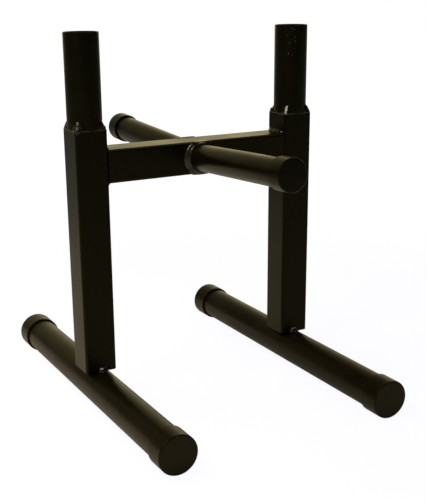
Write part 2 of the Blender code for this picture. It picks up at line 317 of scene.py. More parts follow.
bm = bmesh.new()
bmesh.ops.create_grid(bm, x_segments=1, y_segments=1, size=FLOOR_SIZE / 2)
floor = new_object("floor", mesh_from("floor", bm, floor_finish))
print("floor", FLOOR_SIZE, "m across")

# %% [markdown]
# ## The sprayed black paint
#
# The frame is sprayed with a thin semi-gloss black. Close up it is not one colour: the black is warm,
# almost brown where light rakes over it, it has a few specks of dust, and its gloss changes in soft
# clouds. The sprayed skin also has a fine orange peel, small rounded bumps a millimetre or two apart,
# which blurs what the paint mirrors.
#
# Each of these comes from a texture in the piece's own Object coordinates, so the pattern stays on
# the steel when the rack is moved. The numbers that are the same all over, such as the specular
# level, are set on the shader's own sockets.
#
# Just under the top edge of each upright, a lighter band is painted in patches. It is a painted highlight,
# standing for the fine line of light that the rounded edge catches. Use leaves its marks too. One post
# was knocked by bars near its rim. There the dots of a Voronoi texture, each as large as a noise says,
# chip the paint inside a small patch.

# %% Marks in the paint and a painted edge highlight
CHIP_COLOUR = (0.20, 0.19, 0.165, 1.0)
# The lighter colour of the painted highlight band under an upright's top edge.
EDGE_HIGHLIGHT_COLOUR = (0.075, 0.068, 0.053, 1.0)
PATCH_SHAPE = (1.5, 1.5, 0.45)


def chipped(tree, here, colour, middle, reach):
    """A colour with chips of steel inside a patch, which is taller than it is wide."""
    apart = vector_node(tree, "SUBTRACT", here, middle)[0]
    apart = vector_node(tree, "MULTIPLY", apart, PATCH_SHAPE)[0]
    apart = vector_node(tree, "LENGTH", apart)["Value"]
    dots = add_node(tree, "ShaderNodeTexVoronoi", {"Vector": here, "Scale": 230.0})["Distance"]
    size = soft_step(tree, noise(tree, here, 150.0), 0.4, 0.62, 0.05, 0.20)
    chips = soft_step(tree, math_node(tree, "SUBTRACT", size, dots), 0.0, 0.07)
    chips = math_node(tree, "MULTIPLY", chips, math_node(tree, "LESS_THAN", apart, reach))
    return mixed(tree, chips, colour, CHIP_COLOUR)


def painted_edge_highlight(tree, here, colour, clouds, top):
    """A colour with a lighter band in patches just under a cut edge at the height top: a painted highlight.
    """
    height = add_node(tree, "ShaderNodeSeparateXYZ", {0: here})["Z"]
    # The band just under the edge, in patches where the clouds are high: a painted highlight.
    highlight_band = soft_step(tree, height, top - 1.5 * MM, top - 0.5 * MM)
    highlight_band = math_node(tree, "MULTIPLY", highlight_band, soft_step(tree, clouds, 0.36, 0.55))
    return mixed(tree, highlight_band, colour, EDGE_HIGHLIGHT_COLOUR)


print("marks: chips", CHIP_COLOUR[:3], "bare edge", EDGE_HIGHLIGHT_COLOUR[:3])

# %% Sprayed paint
DUST_COLOUR = (0.05, 0.045, 0.035, 1.0)
PLAIN_TINT = (1.0, 0.93, 0.50)


def new_material(name):
    """A material with its node tree, and a point's place on the piece."""
    material = bpy.data.materials.new(name)
    material.use_nodes = True
    tree = material.node_tree
    return material, tree, add_node(tree, "ShaderNodeTexCoord")["Object"]


def shade(tree, colour, rough, specular, tint, height, depth):
    """Fills a material's shader. tint colours what it mirrors face on, depth is the bump's."""
    bump = add_node(tree, "ShaderNodeBump", {"Height": height, "Strength": 0.5, "Distance": depth})
    inputs = {
        "Base Color": colour,
        "Roughness": rough,
        "Specular IOR Level": specular,
        "Specular Tint": (*tint, 1.0),
        "Normal": bump["Normal"],
    }
    fill(tree, tree.nodes["Principled BSDF"], inputs)


def sprayed_paint(name, dark, light, gloss, specular, peel, tint=PLAIN_TINT, worn=None, highlit=None):
    """A semi-gloss sprayed black. gloss is the lowest and highest roughness, peel the bump's depth.

    worn is the middle and reach of a knocked patch, highlit the height of an edge with a painted highlight
    under it.
    """
    paint, tree, here = new_material(name)
    clouds = noise(tree, here, 9.0, Detail=4.0, Roughness=0.6)
    spray = noise(tree, here, 160.0, Detail=3.0, Roughness=0.65)
    tone = math_node(tree, "MULTIPLY_ADD", clouds, 0.65, math_node(tree, "MULTIPLY", spray, 0.35))
    colour = mixed(tree, soft_step(tree, tone, 0.32, 0.68), (*dark, 1.0), (*light, 1.0))

    specks = add_node(tree, "ShaderNodeTexVoronoi", {"Vector": here, "Scale": 150.0})["Distance"]
    near = math_node(tree, "LESS_THAN", specks, 0.13)
    rare = math_node(tree, "GREATER_THAN", noise(tree, here, 23.0), 0.62)
    dust = math_node(tree, "MULTIPLY", near, rare)
    colour = mixed(tree, math_node(tree, "MULTIPLY", dust, 0.35), colour, DUST_COLOUR)
    if worn:
        colour = chipped(tree, here, colour, *worn)
    # A painted highlight band under the given edge.
    if highlit:
        colour = painted_edge_highlight(tree, here, colour, clouds, highlit)

    rough = math_node(tree, "MULTIPLY_ADD", dust, 0.25, rise(tree, clouds, 0.3, 0.7, *gloss))
    dimples = noise(tree, here, 620.0, Detail=1.5, Roughness=0.4)
    waves = noise(tree, here, 70.0, Detail=1.0)
    height = math_node(tree, "MULTIPLY_ADD", waves, 2.5, dimples)
    shade(tree, colour, rough, specular, tint, height, peel)
    return paint


print("dust", DUST_COLOUR[:3], "tint", PLAIN_TINT)

# %% [markdown]
# One recipe makes all the paints. The feet and pegs get lighter, browner copies of it, and a browner
# tint on what they mirror. This is painted sheen: it stands for the brown light they catch. The feet are
# the roughest. The uprights get a painted highlight under their top edges, and the right post is
# chipped a little under its rim.

# %% Frame paints
PAINT_DARK = (0.0021, 0.0020, 0.0006)
PAINT_LIGHT = (0.0040, 0.0038, 0.0013)
# Lighter, browner copies of the paint for the feet and pegs, with browner tints: painted sheen.
FOOT_DARK = (0.0032, 0.0023, 0.0008)
FOOT_LIGHT = (0.0084, 0.0058, 0.0024)
FOOT_TINT = (1.0, 0.79, 0.40)
PEG_LIGHT = (0.0062, 0.0046, 0.0018)
PEG_TINT = (1.0, 0.86, 0.44)
PEEL = 0.05 * MM
COARSE_PEEL = 0.06 * MM
SATIN_BLACK = (PAINT_DARK, PAINT_LIGHT, (0.28, 0.40), 0.13, PEEL)

top_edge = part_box("upright_left")[1].z
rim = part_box("post_right")[1].z
knocked_place = Vector((0.1545, -0.020, rim - 22 * MM))
knocked_reach = 12 * MM

FOOT_PAINT = sprayed_paint("foot_paint", FOOT_DARK, FOOT_LIGHT, (0.34, 0.46), 0.19, COARSE_PEEL, FOOT_TINT)
# The uprights get the painted highlight band under their top edges.
UPRIGHT_PAINT = sprayed_paint("upright_paint", *SATIN_BLACK, highlit=top_edge)
POST_PAINT = sprayed_paint("post_paint", *SATIN_BLACK, worn=(knocked_place, knocked_reach))
BAR_PAINT = sprayed_paint("cross_bar_paint", PAINT_DARK, PAINT_LIGHT, (0.26, 0.38), 0.15, PEEL)
PEG_PAINT = sprayed_paint("peg_paint", PAINT_DARK, PEG_LIGHT, (0.25, 0.36), 0.155, COARSE_PEEL, PEG_TINT)
print("paints:", [m.name for m in bpy.data.materials if m.name.endswith("paint")])

# %% [markdown]
# ## The weld finish and the cap plastic
#
# The beads were painted with the rest, but the paint flowed together on their ripples and dried
# thicker and glossier, so they catch small bright lights. It is the same paint recipe with a lower
# roughness and a higher specular level.
#
# The caps are moulded plastic. The foot caps are a matte olive black. They get a lighter copy of the plastic
# and the peg caps, higher up, a darker one: painted light near the lit floor and painted shade. The peg
# caps are also a little smoother, worn by the plates. Their mould was etched, which leaves a fine even
# grain instead of orange peel.

# %% Weld paint and plastics
WELD_DARK = (0.0050, 0.0040, 0.0020)
WELD_LIGHT = (0.0110, 0.0088, 0.0050)
WELD_TINT = (1.0, 0.97, 0.88)
WELD_PEEL = 0.08 * MM
WELD_PAINT = sprayed_paint("weld_paint", WELD_DARK, WELD_LIGHT, (0.13, 0.24), 0.5, WELD_PEEL, WELD_TINT)

# A lighter plastic for the foot caps and a darker one for the peg caps: painted light and painted shade.
FOOT_CAP_DARK = (0.0062, 0.0052, 0.0022)
FOOT_CAP_LIGHT = (0.0092, 0.0080, 0.0036)
PEG_CAP_DARK = (0.0024, 0.0022, 0.0008)
PEG_CAP_LIGHT = (0.0044, 0.0040, 0.0016)
PLASTIC_TINT = (1.0, 0.90, 0.56)
PLASTIC_SPECULAR = 0.15
GRAIN_DEPTH = 0.04 * MM


def moulded_plastic(name, dark, light, gloss):
    """Matte moulded plastic with an etched grain and faint clouds."""
    plastic, tree, here = new_material(name)
    clouds = noise(tree, here, 28.0, Detail=5.0, Roughness=0.6)
    grain = noise(tree, here, 1500.0, Detail=2.0, Roughness=0.6)
    colour = mixed(tree, rise(tree, clouds, 0.3, 0.7), (*dark, 1.0), (*light, 1.0))
    rough = rise(tree, clouds, 0.3, 0.7, *gloss)
    shade(tree, colour, rough, PLASTIC_SPECULAR, PLASTIC_TINT, grain, GRAIN_DEPTH)
    return plastic


FOOT_PLASTIC = moulded_plastic("foot_cap_plastic", FOOT_CAP_DARK, FOOT_CAP_LIGHT, (0.30, 0.40))
PEG_PLASTIC = moulded_plastic("peg_cap_plastic", PEG_CAP_DARK, PEG_CAP_LIGHT, (0.28, 0.38))
print("plastics:", FOOT_PLASTIC.name, PEG_PLASTIC.name)

# %% [markdown]
# ## Tubes from a rule
#
# Every tube in the rack is the outline of a wall, a thin rounded rectangle, carried round a closed
# path. A circle as path gives round tube, and a square with filleted corners gives square tube. The
# node Curve to Mesh carries the outline, and the sizes are named inputs of the tree.
#
# The small rounding on the wall's outline is what a file leaves on a cut tube end. It is only about a
# millimetre, but it catches a thin line of light at every joint.

# %% Tube tree
SOCKET_KINDS = {float: "NodeSocketFloat", int: "NodeSocketInt"}
EDGE_STEPS = 3


def new_tree(name, inputs):
    """A tree and its named inputs, each given by its usual value or by its kind of socket."""
    tree = bpy.data.node_groups.new(name, "GeometryNodeTree")
    tree.interface.new_socket("Geometry", in_out="OUTPUT", socket_type="NodeSocketGeometry")
    for label, value in inputs.items():
        kind = SOCKET_KINDS.get(type(value), value)
        item = tree.interface.new_socket(label, in_out="INPUT", socket_type=kind)
        if kind != value:
            item.default_value = value
    return tree, add_node(tree, "NodeGroupInput")


def end_tree(tree, made, finish):
    """Ends a tree: instances become real faces, and the faces get their material."""
    real = add_node(tree, "GeometryNodeRealizeInstances", {"Geometry": made})[0]
    done = add_node(tree, "GeometryNodeSetMaterial", {"Geometry": real, "Material": finish})[0]
    add_node(tree, "NodeGroupOutput", {"Geometry": done})


def rounded(tree, width, height, steps, radius, limit=False):
    """A rectangle with filleted corners, as a curve."""
    inputs = {"Width": width, "Height": height}
    plain = add_node(tree, "GeometryNodeCurvePrimitiveQuadrilateral", inputs)[0]
    inputs = {"Curve": plain, "Count": steps, "Radius": radius, "Limit Radius": limit}
    return add_node(tree, "GeometryNodeFilletCurve", inputs, mode="POLY")[0]


def tube_tree(name, square):
    """A tree that makes one tube, standing along Z with its middle at the origin."""
    sizes = {"Width": 0.05, "Wall": 0.002, "Length": 0.1, "Corner": 0.0035, "Edge": 0.0005, "Steps": 96}
    tree, given = new_tree(name, {**sizes, "Finish": "NodeSocketMaterial"})
    middle = math_node(tree, "SUBTRACT", given["Width"], given["Wall"])
    if square:
        half_wall = math_node(tree, "MULTIPLY", given["Wall"], 0.5)
        bend = math_node(tree, "SUBTRACT", given["Corner"], half_wall)
        path = rounded(tree, middle, middle, given["Steps"], bend)
    else:
        radius = math_node(tree, "MULTIPLY", middle, 0.5)
        inputs = {"Resolution": given["Steps"], "Radius": radius}
        path = add_node(tree, "GeometryNodeCurvePrimitiveCircle", inputs)["Curve"]
    path = add_node(tree, "GeometryNodeSetCurveNormal", {"Curve": path}, mode="Z_UP")[0]
    wall = rounded(tree, given["Wall"], given["Length"], EDGE_STEPS, given["Edge"], limit=True)
    tube = add_node(tree, "GeometryNodeCurveToMesh", {"Curve": path, "Profile Curve": wall})[0]
    end_tree(tree, tube, given["Finish"])
    return tree


ROUND_TUBE = tube_tree("round_tube", square=False)
SQUARE_TUBE = tube_tree("square_tube", square=True)
print("tube trees:", ROUND_TUBE.name, SQUARE_TUBE.name)

# %% [markdown]
# A modifier runs the tree, and what it makes is then baked into a plain mesh, which is what an export
# needs. On the way a Weighted Normal modifier lets the large faces decide the shading, so that a narrow
# rounded edge doesn't bend the light on the flat next to it.

# %% Bake helpers
pieces = {}


def volume_of(mesh):
    """The volume inside a closed mesh, in cubic metres. It is negative if the faces point inwards."""
    bm = bmesh.new()
    bm.from_mesh(mesh)
    volume = bm.calc_volume(signed=True)
    bm.free()
    return volume


def outward(mesh):
    """Turns all faces round if the mesh is inside out."""
    if volume_of(mesh) < 0:
        mesh.flip_normals()
    return mesh


def evaluated(helper):
    """A plain mesh of what an object's modifiers make."""
    graph = bpy.context.evaluated_depsgraph_get()
    return bpy.data.meshes.new_from_object(helper.evaluated_get(graph))


def bake(name, start_mesh, tree, sizes, place=None, sharp=35.0):
    """Runs a tree on a start mesh, weights the normals, moves the result to its place and bakes it."""
    helper = new_object(name + "_helper", start_mesh)
    if tree:
        modifier = helper.modifiers.new("Make", "NODES")
        modifier.node_group = tree
        keys = {item.name: item.identifier for item in tree.interface.items_tree if item.in_out == "INPUT"}
        for size_name, value in sizes.items():
            modifier[keys[size_name]] = value
        made = evaluated(helper)
        helper.modifiers.remove(modifier)
        helper.data = made
    mesh = outward(helper.data)
    mesh.shade_smooth()
    mesh.set_sharp_from_angle(angle=math.radians(sharp))
    weights = helper.modifiers.new("Weights", "WEIGHTED_NORMAL")
    weights.keep_sharp = True
    weights.mode = "FACE_AREA_WITH_ANGLE"
    made = evaluated(helper)
    bpy.data.objects.remove(helper, do_unlink=True)
    made.name = name
    if place:
        made.transform(place)
    return made


def finish_piece(name, mesh, nodes, body="root"):
    """Makes the finished object at the origin, hides the CAD nodes it stands in for and prints its sizes."""
    piece = new_object(name, mesh)
    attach(piece, body)
    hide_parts(*nodes)
    pieces[name] = piece
    low = Vector(map(min, *(v.co for v in mesh.vertices)))
    high = Vector(map(max, *(v.co for v in mesh.vertices)))
    volume = 1e6 * volume_of(mesh)
    print(f"{name}: {len(mesh.polygons)} faces, {in_mm(high - low)} mm, volume {volume:.2f} cm3")


print("bake helpers made")

# %% [markdown]
# ## Sizes from the frame
#
# The lengths and places are read from the CAD nodes, so the finished pieces follow the model if it
# changes. Only what a box can't tell is written here: walls, the corner radius, the gap at a seat, and
# the sizes and tilt of the pegs. Beside each side, end and level stands its sign on the axis.

# %% Sizes
FOOT_WALL = 2.0 * MM
SQUARE_WALL = 2.0 * MM
SQUARE_CORNER = 4.0 * MM
POST_WALL = 2.5 * MM
PEG_DIAMETER = 39.0 * MM
PEG_WALL = 2.0 * MM
PEG_LENGTH = 235.0 * MM
PEG_TILT = math.radians(3.0)
SEAT_GAP = 0.3 * MM

SIDES = {"left": -1, "right": 1}
ENDS = {"front": -1, "rear": 1}
LEVELS = {"bottom": -1, "top": 1}


def middle_and_size(node):
    """The middle of a CAD node's box and its three sizes."""
    low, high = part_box(node)
    return (low + high) / 2, high - low


foot_size = middle_and_size("foot_tube_left")[1]
upright_middle, upright_size = middle_and_size("upright_left")
post_size = middle_and_size("post_left")[1]
bar_middle, bar_size = middle_and_size("cross_bar")
HALF_SQUARE = upright_size.x / 2
FLAT_HALF = HALF_SQUARE - SQUARE_CORNER
print("foot tube", in_mm(foot_size), "upright", in_mm(upright_size))
print("post", in_mm(post_size), "cross bar", in_mm(bar_size))

# %% [markdown]
# ## Feet, uprights, posts and cross bar
#
# These are the straight tubes. Each is made standing at the origin by its tree, then its mesh is laid
# over and moved to its place, and the object itself stays at the origin.

# %% Straight tubes
EDGE = 1.1 * MM
CUT_EDGE = 0.4 * MM
ROUND_STEPS = 96
FILLET_STEPS = 6
blank = bpy.data.meshes.new("blank")

# A tube is made along Z. These turns lay it along X, lay it along Y, or leave it standing.
LAID = (Matrix.Rotation(math.pi / 2, 4, "Y"), Matrix.Rotation(math.pi / 2, 4, "X"), Matrix())


def tube(node, tree, width, wall, length, edge, finish, place):
    """A tube made by one of the two trees, in its place."""
    sizes = {
        "Width": width,
        "Wall": wall,
        "Length": length,
        "Corner": SQUARE_CORNER,
        "Edge": edge,
        "Steps": ROUND_STEPS if tree == ROUND_TUBE else FILLET_STEPS,
        "Finish": finish,
    }
    return bake(node, blank, tree, sizes, place)


def straight(node, axis, tree, wall, edge, finish):
    """A tube with its length along an axis, where its CAD node is."""
    middle, size = middle_and_size(node)
    width = size.x if axis else size.z
    return tube(node, tree, width, wall, size[axis], edge, finish, Matrix.Translation(middle) @ LAID[axis])


for side in SIDES:
    node = "foot_tube_" + side
    mesh = straight(node, 1, ROUND_TUBE, FOOT_WALL, CUT_EDGE, FOOT_PAINT)
    finish_piece("foot_" + side, mesh, [node])

    node = "upright_" + side
    mesh = straight(node, 2, SQUARE_TUBE, SQUARE_WALL, EDGE, UPRIGHT_PAINT)
    finish_piece("upright_tube_" + side, mesh, [node])

    node = "post_" + side
    mesh = straight(node, 2, ROUND_TUBE, POST_WALL, EDGE, POST_PAINT)
    finish_piece("post_tube_" + side, mesh, [node])

mesh = straight("cross_bar", 0, SQUARE_TUBE, SQUARE_WALL, CUT_EDGE, BAR_PAINT)
finish_piece("bar_tube", mesh, ["cross_bar"])

# %% [markdown]
# ## The pegs
#
# A peg is a round tube too, but its root was cut at a slant, because it points up by a few degrees so
# that plates don't slide off. The tube is made straight, the root ring is sheared to the slant, and
# then the whole tube is tilted and brought to the face of the cross bar.

# %% Pegs
PEG_ROOT = {}
for end, y_sign in ENDS.items():
    lean = Matrix.Rotation(-y_sign * (math.pi / 2 - PEG_TILT), 4, "X")
    face = Matrix.Translation((0, y_sign * HALF_SQUARE, bar_middle.z))
    PEG_ROOT[end] = face @ lean

    node = "peg_" + end
    place = Matrix.Translation((0, 0, PEG_LENGTH / 2))
    mesh = tube(node, ROUND_TUBE, PEG_DIAMETER, PEG_WALL, PEG_LENGTH, CUT_EDGE, PEG_PAINT, place)
    for vertex in mesh.vertices:
        if vertex.co.z < PEG_LENGTH / 2:
            vertex.co.z += SEAT_GAP + y_sign * vertex.co.y * math.tan(PEG_TILT)
    mesh.transform(PEG_ROOT[end])
    finish_piece("peg_tube_" + end, mesh, [node])

# %% [markdown]
# ## The caps
#
# A cap is a moulded cup: a disc with a rounded rim, and a sleeve that grips the outside of the tube.
# It is turned from half of its outline, which runs from the middle of the disc over the rim, down the
# sleeve, round the lip and back up the inside. Copies of the outline stand round the axis, and faces
# join each to the next. The disc is slightly domed and the lip is round, so that both catch the light.

# %% Caps
CAP_WALL = 2.5 * MM
CAP_END = 3.7 * MM
CAP_LIP = 0.8 * MM
FOOT_CAP_RIM = 2.0 * MM
FOOT_CAP_DOME = 0.25 * MM
PEG_CAP_RIM = 1.8 * MM
PEG_CAP_DOME = 0.2 * MM
PEG_CAP_LENGTH = 27.0 * MM
MERGE_DISTANCE = 0.01 * MM


def arc(centre, radius, start, stop, steps):
    """Points of an arc in the (radius, height) plane, angles in degrees from outwards to upwards."""
    points = []
    for i in range(steps + 1):
        angle = math.radians(start + (stop - start) * i / steps)
        points.append((centre[0] + radius * math.cos(angle), centre[1] + radius * math.sin(angle)))
    return points


def cap_outline(outer, length, rim, dome):
    """Half of a cap's outline. The tube's end is at height 0 and the disc is on top."""
    inner = outer - CAP_WALL
    face = SEAT_GAP + CAP_END
    bottom = face - length
    points = [(outer * share, face - dome * share**2) for share in (0, 0.3, 0.6)]
    points += arc((outer - rim, face - dome - rim), rim, 90, 0, 8)
    points += [(outer, face - length * 0.5)]
    points += arc((outer - CAP_LIP, bottom + CAP_LIP), CAP_LIP, 0, -90, 4)
    points += [(inner + CAP_LIP / 2, bottom), (inner, bottom + CAP_LIP / 2), (inner, SEAT_GAP), (0, SEAT_GAP)]
    return points


def closed_mesh(name, bm, finish):
    """A closed mesh with its doubles merged and its faces outwards."""
    bmesh.ops.remove_doubles(bm, verts=bm.verts, dist=MERGE_DISTANCE)
    bmesh.ops.recalc_face_normals(bm, faces=bm.faces)
    return mesh_from(name, bm, finish)


def polar(radius, angle, height):
    """A point at a distance and an angle round the axis, and at a height."""
    return Vector((radius * math.cos(angle), radius * math.sin(angle), height))


def turned(name, outline, finish, place):
    """A mesh turned about Z from an outline that starts and ends on the axis, in its place."""
    bm = bmesh.new()
    lines = []
    for i in range(ROUND_STEPS):
        angle = 2 * math.pi * i / ROUND_STEPS
        lines.append([bm.verts.new(polar(radius, angle, height)) for radius, height in outline])
    for left, right in zip(lines, lines[1:] + lines[:1]):
        for j in range(len(outline) - 1):
            bm.faces.new((left[j], right[j], right[j + 1], left[j + 1]))
    return bake(name, closed_mesh(name, bm, finish), None, {}, place)


for side in SIDES:
    for end, y_sign in ENDS.items():
        node = f"foot_cap_{side}_{end}"
        middle, size = middle_and_size(node)
        outline = cap_outline(size.x / 2, size.y, FOOT_CAP_RIM, FOOT_CAP_DOME)
        tube_end = middle.y + y_sign * (size.y / 2 - CAP_END - SEAT_GAP)
        place = Matrix.Translation((middle.x, tube_end, middle.z))
        place = place @ Matrix.Rotation(-y_sign * math.pi / 2, 4, "X")
        mesh = turned(node, outline, FOOT_PLASTIC, place)
        finish_piece(f"foot_end_cap_{side}_{end}", mesh, [node])

for end in ENDS:
    node = "peg_cap_" + end
    outer = PEG_DIAMETER / 2 + SEAT_GAP + CAP_WALL
    outline = cap_outline(outer, PEG_CAP_LENGTH, PEG_CAP_RIM, PEG_CAP_DOME)
    place = PEG_ROOT[end] @ Matrix.Translation((0, 0, PEG_LENGTH))
    mesh = turned(node, outline, PEG_PLASTIC, place)
    finish_piece("peg_end_cap_" + end, mesh, [node])

# %% [markdown]
# ## Weld beads along a path
#
# A weld bead is a row of small puddles of steel that froze one after another, so it looks like a rope
# with ripples. Geometry Nodes follow that: a path is cut into short steps, a round profile is carried
# along it, and a sine along the path's length swells and narrows it for the ripples. Noise moves the
# path a little, because a hand held the torch. At a free end the bead tapers off.

# %% Weld bead tree
BEAD_STEP = 0.4 * MM
BEAD_SIDES = 20
SHAKE_SCALE = 160.0
BLUNT_END = 0.02


def bead_tree():
    """A tree that makes a rippled bead along the edges of the mesh it is given."""
    inputs = {
        "Path": "NodeSocketGeometry",
        "Radius": 0.004,
        "Ripple Pitch": 0.0022,
        "Ripple Depth": 0.07,
        "Taper": 1.0,
        "Wander": 0.0004,
        "Seed": 0.0,
        "Finish": "NodeSocketMaterial",
    }
    tree, given = new_tree("weld_bead", inputs)
    path = add_node(tree, "GeometryNodeMeshToCurve", {"Mesh": given["Path"]})[0]
    inputs = {"Curve": path, "Length": BEAD_STEP}
    path = add_node(tree, "GeometryNodeResampleCurve", inputs, mode="LENGTH")[0]
    spline = add_node(tree, "GeometryNodeSplineParameter")
    place = add_node(tree, "GeometryNodeInputPosition")[0]
    inputs = {"W": given["Seed"], "Vector": place, "Scale": SHAKE_SCALE}
    shake = add_node(tree, "ShaderNodeTexNoise", inputs, noise_dimensions="4D")["Color"]
    shake = vector_node(tree, "SUBTRACT", shake, (0.5, 0.5, 0.5))[0]
    inputs = {0: shake, "Scale": given["Wander"]}
    shake = add_node(tree, "ShaderNodeVectorMath", inputs, operation="SCALE")[0]
    path = add_node(tree, "GeometryNodeSetPosition", {"Geometry": path, "Offset": shake})[0]

    turns = math_node(tree, "DIVIDE", spline["Length"], given["Ripple Pitch"])
    wave = math_node(tree, "SINE", math_node(tree, "MULTIPLY", turns, 2 * math.pi))
    ripple = math_node(tree, "MULTIPLY_ADD", wave, given["Ripple Depth"], 1.0)
    across = math_node(tree, "ABSOLUTE", math_node(tree, "MULTIPLY_ADD", spline["Factor"], 2.0, -1.0))
    fall = math_node(tree, "MULTIPLY", math_node(tree, "POWER", across, 3.0), given["Taper"])
    left = math_node(tree, "MAXIMUM", math_node(tree, "SUBTRACT", 1.0, fall), BLUNT_END)
    shrink = math_node(tree, "SQRT", left)
    swell = math_node(tree, "MULTIPLY", math_node(tree, "MULTIPLY", ripple, shrink), given["Radius"])

    inputs = {"Resolution": BEAD_SIDES, "Radius": 1.0}
    ring = add_node(tree, "GeometryNodeCurvePrimitiveCircle", inputs)["Curve"]
    inputs = {"Curve": path, "Profile Curve": ring, "Scale": swell, "Fill Caps": True}
    bead = add_node(tree, "GeometryNodeCurveToMesh", inputs)[0]
    end_tree(tree, bead, given["Finish"])
    return tree


WELD_BEAD = bead_tree()


def path_mesh(name, points, closed):
    """A row of points joined by edges, which the tree takes as its path."""
    mesh = bpy.data.meshes.new(name)
    links = [(i, i + 1) for i in range(len(points) - 1)]
    if closed:
        links.append((len(points) - 1, 0))
    mesh.from_pydata(points, links, [])
    return mesh


def bead_along(name, points, radius, seed, pitch=2.2 * MM, depth=0.07, wander=0.4 * MM, closed=False):
    """A rippled bead along a row of points."""
    sizes = {
        "Radius": radius,
        "Ripple Pitch": pitch,
        "Ripple Depth": depth,
        "Taper": 0.0 if closed else 1.0,
        "Wander": wander,
        "Seed": float(seed),
        "Finish": WELD_PAINT,
    }
    return bake(name, path_mesh(name, points, closed), WELD_BEAD, sizes, sharp=60.0)


print("weld bead tree:", len(WELD_BEAD.nodes), "nodes")

# %% [markdown]
# ## Foot and cross bar welds
#
# A bead that lies in the corner between two tubes shows only its outer side. The side that melted
# into the steel is pressed flat a millimetre or two under the tubes' surface, where it doesn't show.
# The outer side is flattened a little, because liquid steel sinks into the corner before it freezes.
# A flatter bead also shows one broad glint where a round one shows a thin line.

# %% Flattening
SUNK = 1.2 * MM


def even_steps(count):
    """Numbers that go from -1 to 1 in even steps."""
    return [2 * i / count - 1 for i in range(count + 1)]


def keep_above(mesh, axis, sign, limit):
    """Presses a mesh flat on one side: no vertex goes past the limit on that axis."""
    for vertex in mesh.vertices:
        if sign * (vertex.co[axis] - limit) < 0:
            vertex.co[axis] = limit
    mesh.update()


def press(mesh, depth_at, start, share):
    """Flattens a bead. What stands out further than start keeps only a share of its height there.

    depth_at gives how far out a point is, and the way out.
    """
    for vertex in mesh.vertices:
        depth, out = depth_at(vertex.co)
        if depth > start:
            vertex.co -= out * (depth - start) * (1 - share)
    mesh.update()


def press_corner(bead, corner, out, start, share):
    """Flattens a bead that lies in a corner, along the way out of it."""
    press(bead, lambda point: ((point - corner).dot(out), out), start, share)


print("beads reach", in_mm([SUNK])[0], "mm into the steel")

# %% Foot welds
CROWN_Z = upright_middle.z - upright_size.z / 2 - SEAT_GAP
FOOT_RADIUS = foot_size.x / 2
FOOT_WELD_REACH = 7.5 * MM
FOOT_WELD_STEPS = 12
FOOT_WELD_RADIUS = 7.6 * MM
FOOT_WELD_LIFT = 2.4 * MM
FOOT_WELD_PRESS = (6.5 * MM, 0.62)
FOOT_SUNK = 2.2 * MM
FOOT_WELD_SHIFT = {
    ("left", "front"): 2.0 * MM,
    ("right", "front"): -0.6 * MM,
    ("left", "rear"): 0.8 * MM,
    ("right", "rear"): -1.4 * MM,
}

for side, x_sign in SIDES.items():
    middle = middle_and_size("foot_tube_" + side)[0]
    for end, y_sign in ENDS.items():
        points = []
        for share in even_steps(FOOT_WELD_STEPS):
            x = FOOT_WELD_REACH * share + FOOT_WELD_SHIFT[side, end]
            drop = FOOT_RADIUS - math.sqrt(FOOT_RADIUS**2 - x**2)
            points.append(Vector((middle.x + x, y_sign * HALF_SQUARE, CROWN_Z + FOOT_WELD_LIFT - drop)))
        name = f"foot_weld_{side}_{end}"
        seed = 10 + 2 * x_sign + y_sign
        mesh = bead_along(name, points, FOOT_WELD_RADIUS, seed, pitch=4.4 * MM, wander=2.0 * MM)
        # The torch came from outside the rack, so the beads are flattened that way as well.
        corner = Vector((middle.x, y_sign * HALF_SQUARE, CROWN_Z))
        press_corner(mesh, corner, Vector((x_sign, y_sign, 1)).normalized(), *FOOT_WELD_PRESS)
        keep_above(mesh, 1, y_sign, y_sign * (HALF_SQUARE - SUNK))
        keep_above(mesh, 2, 1, CROWN_Z - FOOT_SUNK)
        finish_piece(f"foot_bead_{side}_{end}", mesh, [name])

# %% Cross bar welds
BAR_WELD_STEPS = 16
BAR_WELD_RADIUS = 7.4 * MM
BAR_WELD_INSET = 0.8 * MM
BAR_WELD_PRESS = (0.0, 0.66)

for side, x_sign in SIDES.items():
    inner_face = x_sign * (abs(upright_middle.x) - HALF_SQUARE)
    for level, z_sign in LEVELS.items():
        face_z = bar_middle.z + z_sign * HALF_SQUARE
        bead_x = inner_face - x_sign * BAR_WELD_INSET
        bead_z = face_z + z_sign * BAR_WELD_INSET
        points = [Vector((bead_x, FLAT_HALF * share, bead_z)) for share in even_steps(BAR_WELD_STEPS)]
        name = f"bar_weld_{side}_{level}"
        seed = 30 + 2 * x_sign + z_sign
        mesh = bead_along(name, points, BAR_WELD_RADIUS, seed, depth=0.03, wander=1.0 * MM)
        corner = Vector((inner_face, 0, face_z))
        press_corner(mesh, corner, Vector((-x_sign, 0, z_sign)).normalized(), *BAR_WELD_PRESS)
        keep_above(mesh, 0, -x_sign, inner_face + x_sign * SUNK)
        keep_above(mesh, 2, z_sign, face_z - z_sign * SUNK)
        finish_piece(f"bar_bead_{side}_{level}", mesh, [name])

# %% [markdown]
# ## Peg welds
#
# A peg hangs far out and carries heavy plates, so its root was welded in two passes. The first bead
# lies on the bar's face, and the second lies on the first and on the peg, with a groove between
# them. The ring is nearly as wide as the face. Above and below, where the face ends, the path comes
# in and steps back over the rounded edge.

# %% Peg welds
RING_POINTS = 72
RING_INSET = 2.2 * MM
RING_PAST_FACE = 0.6 * MM
PEG_WELD_PRESS = (5.2 * MM, 0.3)
PEG_RIPPLES = {"pitch": 3.4 * MM, "depth": 0.05, "wander": 1.4 * MM}

# Each pass: how far its path lies outside the peg, its radius, and how far it is in front of the face.
PASSES = ((4.9 * MM, 3.9 * MM, 0.6 * MM), (1.2 * MM, 3.3 * MM, 3.0 * MM))


